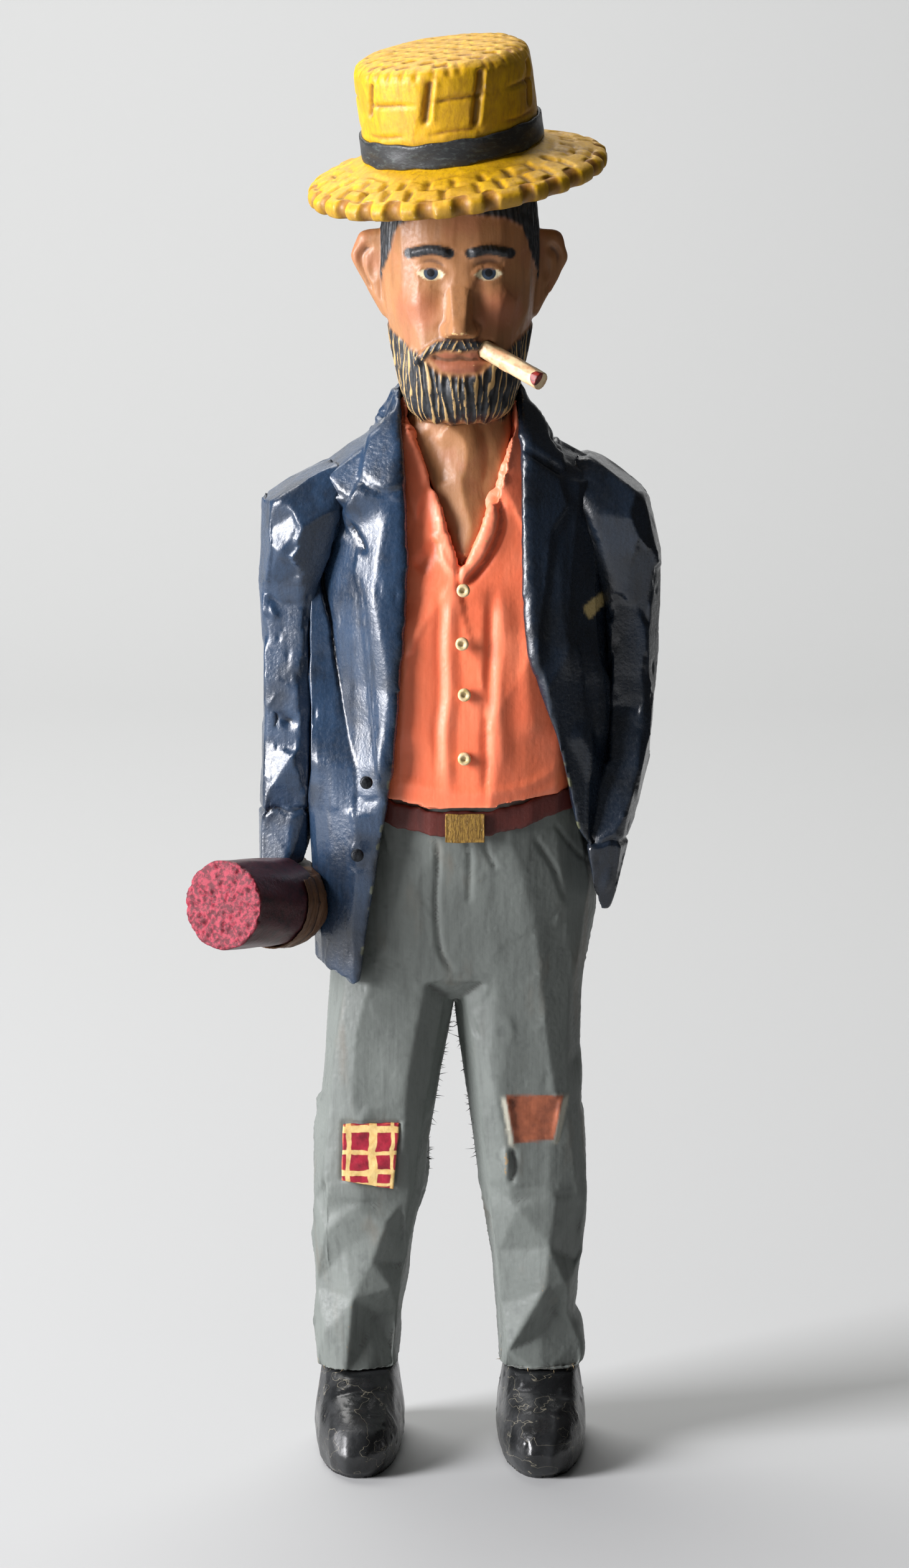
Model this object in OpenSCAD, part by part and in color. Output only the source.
// Carved and painted wooden figurine: a bearded man in a straw boater, open blue jacket, orange
// shirt and patched grey trousers, with a short round roll in his right hand.
// Each carving is a block of its own, joined to the next by a round dowel in drilled sockets.
// Left and right are the figure's own. He faces -Y, and +Z is up.

/* [Hat] */
// Radius of the brim
brim_r = 26; // [24:0.5:27]
// Thickness of the brim at its rim
brim_t = 3.2; // [2.4:0.2:4]
// Radius of the crown
crown_r = 15.2; // [14:0.2:16.4]
// Height of the hat from its rim's underside to the top of the crown
hat_h = 24; // [20:0.2:25]
// Height of the hat band
band_h = 4.4; // [3:0.2:6]
// Lean of the hat towards the figure's right, in degrees
hat_lean = 8; // [0:1:12]
// Forward tip of the hat, in degrees
hat_tip = 10; // [4:1:14]

/* [Carving] */
// Depth of the knife's facets on the blocks
knife = 0.35; // [0:0.05:0.5]
// Height of a trouser hem above the floor
hem_z = 15.2; // [14:0.2:17]
// Height of the belt
belt_h = 4.3; // [3:0.1:5]
// Thickness of the belt
belt_t = 0.8; // [0.5:0.1:1]

/* [Roll and cigarette] */
// Radius of the carried roll
roll_r = 7.75; // [6.5:0.25:8]
// Length of the carried roll
roll_l = 18.5; // [16:0.5:18.5]
// Radius of the cigarette
cigarette_r = 1.6; // [1.2:0.1:1.8]
// Length of the cigarette outside the mouth
cigarette_l = 11.8; // [8:0.2:14]

/* [Dowels] */
// Radius of the hat peg
peg_r = 3; // [2:0.25:4]
// Radius of the neck and waist dowels
core_dowel_r = 3; // [2:0.25:4]
// Radius of the shoulder and ankle dowels
limb_dowel_r = 2; // [1.5:0.25:2.5]
// Glue gap around every dowel and inlay
glue_gap = 0.05; // [0.02:0.01:0.1]
// Running clearance of the hat on its peg
peg_gap = 0.06; // [0.04:0.01:0.1]

/* [Hidden] */

$fn = 48;
tiny = 0.01;
overcut = 1;

// Where the middle of the stance lies, seen from the bottom centre of the bounding box
stance = [4.36, 3.16, 0];

// Colours of the paint on each block
straw_yellow = "#e6c01e";
band_black = "#26282a";
skin = "#c99a6b";
hair_black = "#1d1f22";
jacket_blue = "#34506e";
shirt_orange = "#f0633a";
trouser_grey = "#7d8583";
belt_brown = "#6a3026";
buckle_gold = "#9a7a35";
shoe_black = "#26282a";
roll_red = "#5a2028";
patch_red = "#a82a36";
bare_wood = "#d8b98a";

// Rows of a carved block: height, lowest and highest x, front y, back y
right_leg_rows = [
    [hem_z, -24.6, -8.0, -8.4, 10.6],
    [hem_z + 4, -24.9, -8.6, -8.0, 10.4],
    [25, -24.7, -9.6, -7.2, 10.0],
    [30, -24.1, -6.8, -8.2, 9.6],
    [38, -24.9, -5.8, -9.2, 9.4],
    [47, -24.8, -4.7, -9.8, 9.6],
    [56, -24.0, -3.1, -10.2, 10.0],
    [66, -22.9, -1.6, -10.6, 10.6],
    [76, -22.0, -0.2, -11.0, 11.4],
    [84, -21.6, 1.4, -11.4, 12.2],
    [92, -21.2, 4.0, -11.6, 12.8]];
left_leg_rows = [
    [hem_z, 7.8, 24.8, -8.4, 10.6],
    [hem_z + 3.6, 7.9, 24.9, -8.0, 10.4],
    [25, 7.8, 22.4, -7.4, 9.8],
    [31, 7.1, 22.9, -8.4, 9.6],
    [40, 6.2, 24.5, -9.2, 9.4],
    [50, 5.0, 25.0, -9.8, 9.6],
    [58, 4.0, 24.3, -10.2, 10.0],
    [66, 2.8, 23.3, -10.6, 10.6],
    [76, 1.8, 23.0, -11.0, 11.4],
    [84, 0.8, 23.5, -11.4, 12.2],
    [92, -3.0, 24.3, -11.6, 12.8]];
hip_rows = [
    [83.6, -20.8, 22.8, -9.4, 10.4],
    [87, -21.6, 23.8, -11.6, 12.6],
    [93, -21.4, 24.9, -12.4, 13.4],
    [101, -21.0, 25.8, -13.0, 13.4],
    [109, -20.2, 25.2, -13.6, 12.8],
    [115, -19.6, 23.6, -14.0, 12.0],
    [120, -19.2, 22.8, -14.2, 11.6]];
torso_rows = [
    [124, -19.6, 23.0, -16.1, 11.8],
    [131, -19.8, 23.2, -16.4, 11.8],
    [140, -20.2, 23.4, -16.0, 12.0],
    [150, -20.4, 23.8, -15.2, 12.2],
    [160, -20.4, 23.8, -14.0, 12.2],
    [168, -20.0, 23.2, -12.8, 11.8],
    [174, -17.0, 20.2, -11.8, 11.0],
    [179, -12.4, 15.8, -10.8, 10.0],
    [184, -9.6, 12.8, -9.9, 9.6],
    [188.4, -8.8, 12.0, -8.6, 9.2]];
jacket_rows = [
    [87, -24.0, 27.2, -16.6, 15.2],
    [94, -24.2, 27.6, -16.9, 15.6],
    [104, -24.4, 27.8, -17.4, 15.6],
    [116, -24.3, 27.6, -18.0, 14.6],
    [126, -24.4, 27.4, -18.4, 14.0],
    [137, -24.3, 27.3, -18.2, 14.0],
    [148, -24.4, 27.3, -17.4, 14.4],
    [158, -24.3, 27.3, -16.2, 14.6],
    [167, -24.5, 27.4, -14.8, 14.0],
    [175.6, -24.5, 27.4, -13.4, 13.2],
    [179.4, -19.6, 22.8, -12.4, 12.4],
    [183.4, -12.7, 16.6, -11.2, 11.8],
    [187.6, -10.4, 14.2, -9.8, 11.4],
    [191.2, -9.4, 13.0, -7.0, 10.8]];
right_sleeve_rows = [
    [106.5, -33.8, -25.4, -7.4, 7.2],
    [115.8, -33.8, -25.2, -7.4, 7.4],
    [117.0, -32.9, -25.2, -6.8, 7.0],
    [120, -33.6, -25.0, -7.2, 7.4],
    [129, -33.0, -24.8, -6.8, 7.8],
    [138, -33.2, -24.7, -7.4, 8.4],
    [148, -32.8, -24.6, -6.8, 8.8],
    [156, -33.2, -24.0, -7.4, 9.0],
    [161, -33.0, -21.6, -9.2, 10.2],
    [167.5, -32.9, -20.2, -10.6, 10.8],
    [171.6, -32.3, -20.0, -10.6, 10.6],
    [174.4, -29.6, -20.6, -9.8, 9.8],
    [176.4, -26.0, -21.6, -8.4, 8.4]];
left_sleeve_rows = [
    [99.9, 24.9, 28.0, -10.2, -2.4],
    [104, 22.6, 29.7, -12.4, 0.4],
    [111.4, 22.0, 31.3, -12.8, 3.0],
    [112.6, 22.4, 30.8, -12.2, 3.0],
    [118, 24.4, 33.2, -11.2, 4.8],
    [127, 27.4, 35.2, -9.0, 7.6],
    [136, 27.6, 36.2, -7.8, 9.4],
    [147, 27.5, 36.7, -7.4, 9.8],
    [157, 27.0, 37.0, -7.8, 9.6],
    [165, 23.4, 36.9, -10.2, 10.6],
    [170.6, 22.8, 35.8, -10.6, 10.6],
    [174.6, 23.4, 33.1, -9.8, 9.8],
    [176.6, 24.2, 30.2, -8.6, 8.6],
    [177.6, 25.4, 28.6, -6.8, 7.0]];
head_rows = [
    [184.8, -4.4, 7.8, -13.8, -1.0],
    [187.0, -7.2, 10.6, -15.6, 5.0],
    [191.0, -8.6, 12.0, -16.4, 9.4],
    [197.0, -10.0, 13.4, -16.4, 11.6],
    [204.0, -11.2, 14.6, -15.8, 12.8],
    [210.0, -11.8, 15.2, -15.4, 13.4],
    [217.0, -11.8, 15.2, -15.2, 13.4],
    [224.0, -11.2, 14.6, -14.4, 12.6],
    [231.0, -9.6, 13.0, -12.4, 10.8]];
// Rows of a shoe: height, half width, reach in front of the ankle, reach behind it
shoe_rows = [
    [0, 7.0, 22.0, 12.0],
    [1.2, 7.8, 23.6, 12.8],
    [4.6, 8.2, 24.6, 13.2],
    [8.0, 7.9, 22.6, 13.0],
    [10.4, 7.5, 18.6, 12.4],
    [12.6, 7.2, 13.8, 11.4],
    [hem_z, 6.9, 10.6, 10.0]];
ankle_y = 1.6;
right_ankle_x = -16.2;
left_ankle_x = 16.3;

// Front of the jacket's opening, as x and z, down its right panel and up its left one
jacket_opening = [
    [-9.0, 196], [-8.8, 188], [-8.4, 182], [-7.7, 174], [-7.3, 161.5], [-7.8, 151], [-8.8, 140],
    [-9.7, 129], [-10.6, 119.4], [-11.9, 113], [-12.9, 106], [-14.5, 96.4], [-16.0, 84],
    [48, 84], [48, 104], [26.5, 107.5], [21.9, 115], [20.4, 123], [18.4, 131], [15.5, 138.7],
    [13.5, 145.4], [12.7, 152.5], [12.5, 161], [12.4, 174], [12.0, 186], [11.8, 196]];
// Open neck of the shirt, as x and z
neck_opening = [[-7.4, 196], [-7.2, 184], [-2.4, 172], [2.0, 159.2], [5.2, 166], [8.4, 174.4],
    [11.0, 184], [11.2, 196]];
chest_inset = 1.5;

neck_x = 1.7;
neck_y = 0.4;
neck_r = 8.6;
neck_seat_z = 172;
waist_z = 120;
waist_x = 1.8;
hem_lift = 0.0135;
max_sag = 4.6;
belt_top_z = 117.5;

// The hat's own frame: its origin is the middle of the rim's underside
hat_at = [1.5, -1.6, 224.6];
hat_turn = [hat_tip, -hat_lean, 0];
hat_seat_h = 1.6;
hat_seat_r = 17;
hat_seat_gap = 0.08;
brim_rise = 3.0;
crown_foot_h = brim_t + brim_rise;
peg_reach = 8;

// The roll's own frame: +Z runs from its front end towards the hand
roll_at = [-38.8, -26, 103.8];
roll_dir = [0.514, 0.847, -0.134];
roll_turn = [0, acos(roll_dir[2]), atan2(roll_dir[1], roll_dir[0])];
roll_seat = 4;
fist_r = 8.2;
fist_reach = 6.5;

mouth = [7.0, -15.4, 197.0];
cigarette_turn = [111, 0, 49];
cigarette_root = 3;

shirt_button_places = [[2.3, 156.6], [2.1, 147.4], [2.5, 138.6], [2.5, 127.5]];
jacket_button_places = [[-14.3, 123.7], [-15.9, 111.0]];
patch_corners = [[-18.8, 61.4], [-8.8, 61.7], [-9.9, 49.6], [-19.1, 51.2]];
patch_t = 0.7;
torn_hole = [[10.2, 66.2], [19.6, 66.0], [17.9, 58.9], [11.6, 58.3]];
torn_hole_depth = 1.1;

function sgn_pow(v, p) = sign(v) * pow(abs(v), p);
// A small even spread of highs and lows over the facets, from -1 to 1
function chip(i, j) = sin(i * 137.5 + j * 71) * cos(j * 53 + i * 19);
// One ring of a carved block: a squared oval inside a row's limits, grown by a margin
function ring(row, j, sides, square, grow = 0, cut = 1) =
    let (cx = (row[1] + row[2]) / 2, cy = (row[3] + row[4]) / 2)
    let (a = (row[2] - row[1]) / 2, b = (row[4] - row[3]) / 2)
    [for (i = [0:sides - 1])
        let (t = (i + 0.5) * 360 / sides, inwards = grow + knife * cut * (chip(i, j) - 1) / 2)
        [cx + (a + inwards) * sgn_pow(cos(t), square),
         cy + (b + inwards) * sgn_pow(sin(t), square), row[0]]];
function rings(rows, sides, square, grow = 0, cut = 1) =
    [for (j = [0:len(rows) - 1]) ring(rows[j], j, sides, square, grow, cut)];
function middle(r) = [for (k = [0:2]) [for (p = r) p[k]] * [for (p = r) 1] / len(r)];
// Height of the belt line at x: lowest at the middle of the waist, rising to both sides
function sag(x) = min(hem_lift * pow(x - waist_x, 2), max_sag);

// A solid skinned through rings of equal point count, from the lowest to the highest
module loft(r) {
    n = len(r[0]);
    m = len(r);
    sides = [for (j = [0:m - 2], i = [0:n - 1])
        let (a = j * n + i, b = (j + 1) * n + i, c = (j + 1) * n + (i + 1) % n, d = j * n + (i + 1) % n)
        each [[a, b, c], [a, c, d]]];
    low_cap = [for (i = [0:n - 1]) [m * n, i, (i + 1) % n]];
    high_cap = [for (i = [0:n - 1]) [m * n + 1, (m - 1) * n + (i + 1) % n, (m - 1) * n + i]];
    polyhedron(points = [each [for (q = r) each q], middle(r[0]), middle(r[m - 1])],
        faces = concat(sides, low_cap, high_cap));
}

module dowel(at, turn, r, from, to) {
    translate(at) rotate(turn) translate([0, 0, from]) cylinder(r = r, h = to - from);
}

// A prism through the figure from front to back, drawn as x and z
module slab(outline, front, back) {
    translate([0, back, 0]) rotate([90, 0, 0]) linear_extrude(back - front) polygon(outline);
}

module in_hat_frame() { translate(hat_at) rotate(hat_turn) children(); }
module in_roll_frame() { translate(roll_at) rotate(roll_turn) children(); }

module neck_dowel_solid(grow = 0) {
    dowel([neck_x, neck_y + 1, 0], [0, 0, 0], core_dowel_r + grow, 158 - grow, 186 + grow);
}
module waist_dowel_solid(grow = 0) {
    dowel([waist_x, -1, 0], [0, 0, 0], core_dowel_r + grow, 106 - grow, 134 + grow);
}
module shoulder_dowel_solids(grow = 0) {
    dowel([-24.6, 0.6, 166], [0, 90, 0], limb_dowel_r + grow, -5 - grow, 3.6 + grow);
    dowel([27.5, 0.6, 166], [0, 90, 0], limb_dowel_r + grow, -3.6 - grow, 5 + grow);
}
module ankle_dowel_solids(grow = 0) {
    for (x = [right_ankle_x, left_ankle_x])
        dowel([x, ankle_y, 0], [0, 0, 0], limb_dowel_r + grow, 8 - grow, 24 + grow);
}
module wrist_dowel_solid(grow = 0) {
    dowel([-29.4, 0.4, 0], [0, 0, 0], 1.5 + grow, 101 - grow, 114 + grow);
}
module peg_solid(grow = 0) {
    in_hat_frame() dowel([0, 0, 0], [0, 0, 0], peg_r + grow, -9 - grow, hat_seat_h + peg_reach + grow);
}

module torso_block(grow = 0) {
    hem = [for (p = ring([belt_top_z + 0.2, -20.2, 23.8, -16.2, 12.4], 0, 20, 0.8, grow, 0))
        [p[0], p[1], p[2] + sag(p[0])]];
    core = ring(hip_rows[6], 0, 20, 0.8, grow - 0.1, 0);
    loft(concat([core, hem], rings(torso_rows, 20, 0.8, grow)));
}
module hips_block(grow = 0) { loft(rings(hip_rows, 20, 0.8, grow)); }
module jacket_block(grow = 0) { loft(rings(jacket_rows, 24, 0.72, grow)); }
module legs_block(grow = 0) {
    loft(rings(right_leg_rows, 12, 0.66, grow));
    loft(rings(left_leg_rows, 12, 0.66, grow));
}
module trouser_solid(grow = 0) { hips_block(grow); legs_block(grow); }

module hat() {
    color(straw_yellow) difference() {
        in_hat_frame() rotate_extrude($fn = 72) difference() {
            union() {
                polygon([[0, hat_seat_h], [hat_seat_r, hat_seat_h], [brim_r - 1.6, 0],
                    [brim_r - 0.6, 0.3], [brim_r, 1.2], [brim_r, brim_t - 0.9],
                    [brim_r - 0.8, brim_t], [brim_r - 2.6, brim_t + 0.7],
                    [crown_r + 0.4, crown_foot_h], [crown_r, crown_foot_h + 0.4],
                    [crown_r, hat_h - 2.8], [crown_r - 0.5, hat_h - 1.6],
                    [crown_r - 1.8, hat_h - 0.7], [crown_r - 6, hat_h - 0.1], [0, hat_h]]);
            }
            // Shallow seat that the band lies in
            translate([crown_r - 0.3, crown_foot_h + 0.3]) square([2, band_h]);
        }
        peg_solid(peg_gap);
    }
}
module hat_band() {
    color(band_black) in_hat_frame() translate([0, 0, crown_foot_h + 0.35]) difference() {
        cylinder(r = crown_r + 0.5, h = band_h - 0.1, $fn = 72);
        translate([0, 0, -overcut])
            cylinder(r = crown_r - 0.3 + tiny, h = band_h + 2 * overcut, $fn = 72);
    }
}
module hat_peg() { color(bare_wood) peg_solid(); }

module ear(side) {
    x = side < 0 ? head_rows[5][1] : head_rows[5][2];
    hull() {
        translate([x - side * 1.2, 0.4, 203.6]) scale([0.9, 0.9, 1]) sphere(r = 1.8, $fn = 20);
        translate([x + side * 3.6, 1.4, 212.2]) sphere(r = 1.7, $fn = 20);
        translate([x + side * 2.6, 1.2, 215.2]) sphere(r = 1.7, $fn = 20);
        translate([x - side * 1.2, 0.6, 215.4]) sphere(r = 1.8, $fn = 20);
    }
}
module nose() {
    polyhedron(points = [[neck_x - 1.7, -14.6, 209.5], [neck_x + 1.7, -14.6, 209.5],
            [neck_x - 2.9, -14.4, 199.2], [neck_x + 2.9, -14.4, 199.2],
            [neck_x - 1.3, -20.2, 200.4], [neck_x + 1.3, -20.2, 200.4],
            [neck_x, -12.0, 204]],
        faces = [[0, 1, 5, 4], [0, 4, 2], [1, 3, 5], [2, 4, 5, 3], [0, 2, 6], [1, 0, 6],
            [3, 1, 6], [2, 3, 6]]);
}
module head() {
    color(skin) difference() {
        union() {
            loft(rings(head_rows, 20, 0.84));
            nose();
            ear(-1);
            ear(1);
            translate([neck_x, neck_y, neck_seat_z]) cylinder(r = neck_r, h = 19);
            intersection() {
                slab(neck_opening, -30, neck_y);
                torso_block(-chest_inset);
            }
        }
        in_hat_frame() translate([-40, -40, hat_seat_h - hat_seat_gap]) cube([80, 80, 30]);
        peg_solid(glue_gap);
        neck_dowel_solid(glue_gap);
        cigarette_solid(glue_gap);
    }
}
module cigarette_solid(grow = 0) {
    dowel(mouth, cigarette_turn, cigarette_r + grow, -cigarette_root - grow, cigarette_l);
}
module cigarette() { color("#e8cfa6") cigarette_solid(); }
module neck_dowel() { color(bare_wood) neck_dowel_solid(); }

module shirt() {
    color(shirt_orange) difference() {
        torso_block();
        slab(neck_opening, -30, neck_y);
        translate([neck_x, neck_y, neck_seat_z - glue_gap])
            cylinder(r = neck_r + glue_gap, h = 40);
        neck_dowel_solid(glue_gap);
        waist_dowel_solid(glue_gap);
        shoulder_dowel_solids(glue_gap);
        for (p = shirt_button_places) button_pin(p, 0, glue_gap);
    }
}
// A pin with a domed head, driven into the front of a block at x and z
module button_pin(place, front, grow = 0) {
    y = front - 15.4;
    dowel([place[0], y, place[1]], [90, 0, 0], 0.5 + grow, -4 - grow, 1);
}
module shirt_buttons() {
    color("#e8d9b0") for (p = shirt_button_places) {
        button_pin(p, 0);
        translate([p[0], -16.2, p[1]]) rotate([90, 0, 0]) cylinder(r = 1.15, h = 0.9, $fn = 24);
    }
}

module jacket() {
    color(jacket_blue) difference() {
        jacket_block();
        torso_block(2 * glue_gap);
        translate([0, 0, glue_gap]) torso_block(2 * glue_gap);
        loft(rings(head_rows, 20, 0.84, 2 * glue_gap));
        hips_block(belt_t + 0.2);
        legs_block(0.4);
        belt_ring(belt_t + glue_gap, belt_top_z - belt_h - glue_gap, belt_top_z + glue_gap);
        slab(jacket_opening, -30, 2);
        // The back hem rises towards the hand that is in the pocket
        slab([[-40, 80], [-24.6, 90.5], [-17, 87.2], [6, 88], [22, 100], [48, 112], [48, 70]],
            -30, 30);
        translate([neck_x, neck_y, neck_seat_z]) cylinder(r = neck_r + 0.6, h = 40);
        shoulder_dowel_solids(glue_gap);
        in_roll_frame() translate([0, 0, -overcut])
            cylinder(r = roll_r + glue_gap, h = roll_l + glue_gap + overcut);
        for (p = jacket_button_places) button_pin(p, -2, glue_gap);
    }
}
module jacket_buttons() {
    color("#4a4d50") for (p = jacket_button_places) {
        button_pin(p, -2);
        translate([p[0], -18.1, p[1]]) rotate([90, 0, 0]) cylinder(r = 1.1, h = 0.8, $fn = 24);
    }
}

module right_sleeve() {
    color(jacket_blue) difference() {
        loft(rings(right_sleeve_rows, 12, 0.66));
        jacket_block(glue_gap);
        in_roll_frame() cylinder(r = roll_r + glue_gap, h = roll_l);
        shoulder_dowel_solids(glue_gap);
        wrist_dowel_solid(glue_gap);
    }
}
module left_sleeve() {
    color(jacket_blue) difference() {
        loft(rings(left_sleeve_rows, 12, 0.66));
        jacket_block(glue_gap);
        trouser_solid(glue_gap);
        shoulder_dowel_solids(glue_gap);
    }
}
module shoulder_dowels() { color(bare_wood) shoulder_dowel_solids(); }

module right_hand() {
    color(skin) difference() {
        union() {
            in_roll_frame() translate([0, 0, roll_l - roll_seat])
                cylinder(r = fist_r, h = fist_reach);
            hull() {
                in_roll_frame() translate([0, 0, roll_l + 2.2]) sphere(r = fist_r - 0.5, $fn = 32);
                translate([-29.4, 0.2, 100.4]) sphere(r = 6.4, $fn = 32);
                translate([-29.3, 0.0, 106.4]) cube([6.8, 10.4, 0.2], center = true);
            }
        }
        jacket_block(glue_gap);
        translate([-60, -40, 106.5 - tiny]) cube([60, 80, 30]);
        in_roll_frame() translate([0, 0, -overcut])
            cylinder(r = roll_r + glue_gap, h = roll_l + glue_gap + overcut);
        wrist_dowel_solid(glue_gap);
    }
}
module wrist_dowel() { color(bare_wood) wrist_dowel_solid(); }
module carried_roll() { color(roll_red) in_roll_frame() cylinder(r = roll_r, h = roll_l); }

module belt_ring(grow, low, high) {
    bottom = [for (p = ring(hip_rows[5], 0, 20, 0.8, grow, 0)) [p[0], p[1], low + sag(p[0])]];
    top = [for (p = ring(hip_rows[5], 0, 20, 0.8, grow, 0)) [p[0], p[1], high + sag(p[0])]];
    loft([bottom, top]);
}
module belt() {
    color(belt_brown) difference() {
        belt_ring(belt_t, belt_top_z - belt_h, belt_top_z);
        hips_block(glue_gap);
        torso_block(glue_gap);
    }
}
module belt_buckle() {
    color(buckle_gold) translate([2.6, -15.0, belt_top_z - belt_h / 2 - 0.2])
        translate([-3.4, -0.75, -2.5]) cube([6.8, 0.7, 5.0]);
}
module waist_dowel() { color(bare_wood) waist_dowel_solid(); }

module trousers() {
    color(trouser_grey) difference() {
        trouser_solid();
        waist_dowel_solid(glue_gap);
        ankle_dowel_solids(glue_gap);
        slab(patch_corners, -14, -10.2 + patch_t);
        slab(torn_hole, -14, -10.6 + torn_hole_depth);
    }
}
module knee_patch() {
    color(patch_red) slab([for (c = patch_corners) c * 0.996 + [-0.06, 0.22]], -10.5, -9.55);
}

module shoe(x) {
    difference() {
        loft([for (j = [0:len(shoe_rows) - 1])
            let (s = shoe_rows[j])
            [for (i = [0:15])
                let (t = (i + 0.5) * 22.5, reach = sin(t) < 0 ? s[2] : s[3])
                [x + s[1] * sgn_pow(cos(t), 0.82),
                 ankle_y + reach * sgn_pow(sin(t), 0.9), s[0]]]]);
        ankle_dowel_solids(glue_gap);
    }
}
module left_shoe() { color(shoe_black) shoe(left_ankle_x); }
module right_shoe() { color(shoe_black) shoe(right_ankle_x); }
module ankle_dowels() { color(bare_wood) ankle_dowel_solids(); }

translate(stance) {
    hat();
    hat_band();
    hat_peg();
    head();
    cigarette();
    neck_dowel();
    shirt();
    shirt_buttons();
    jacket();
    jacket_buttons();
    right_sleeve();
    left_sleeve();
    shoulder_dowels();
    right_hand();
    wrist_dowel();
    carried_roll();
    belt();
    belt_buckle();
    waist_dowel();
    trousers();
    knee_patch();
    left_shoe();
    right_shoe();
    ankle_dowels();
}
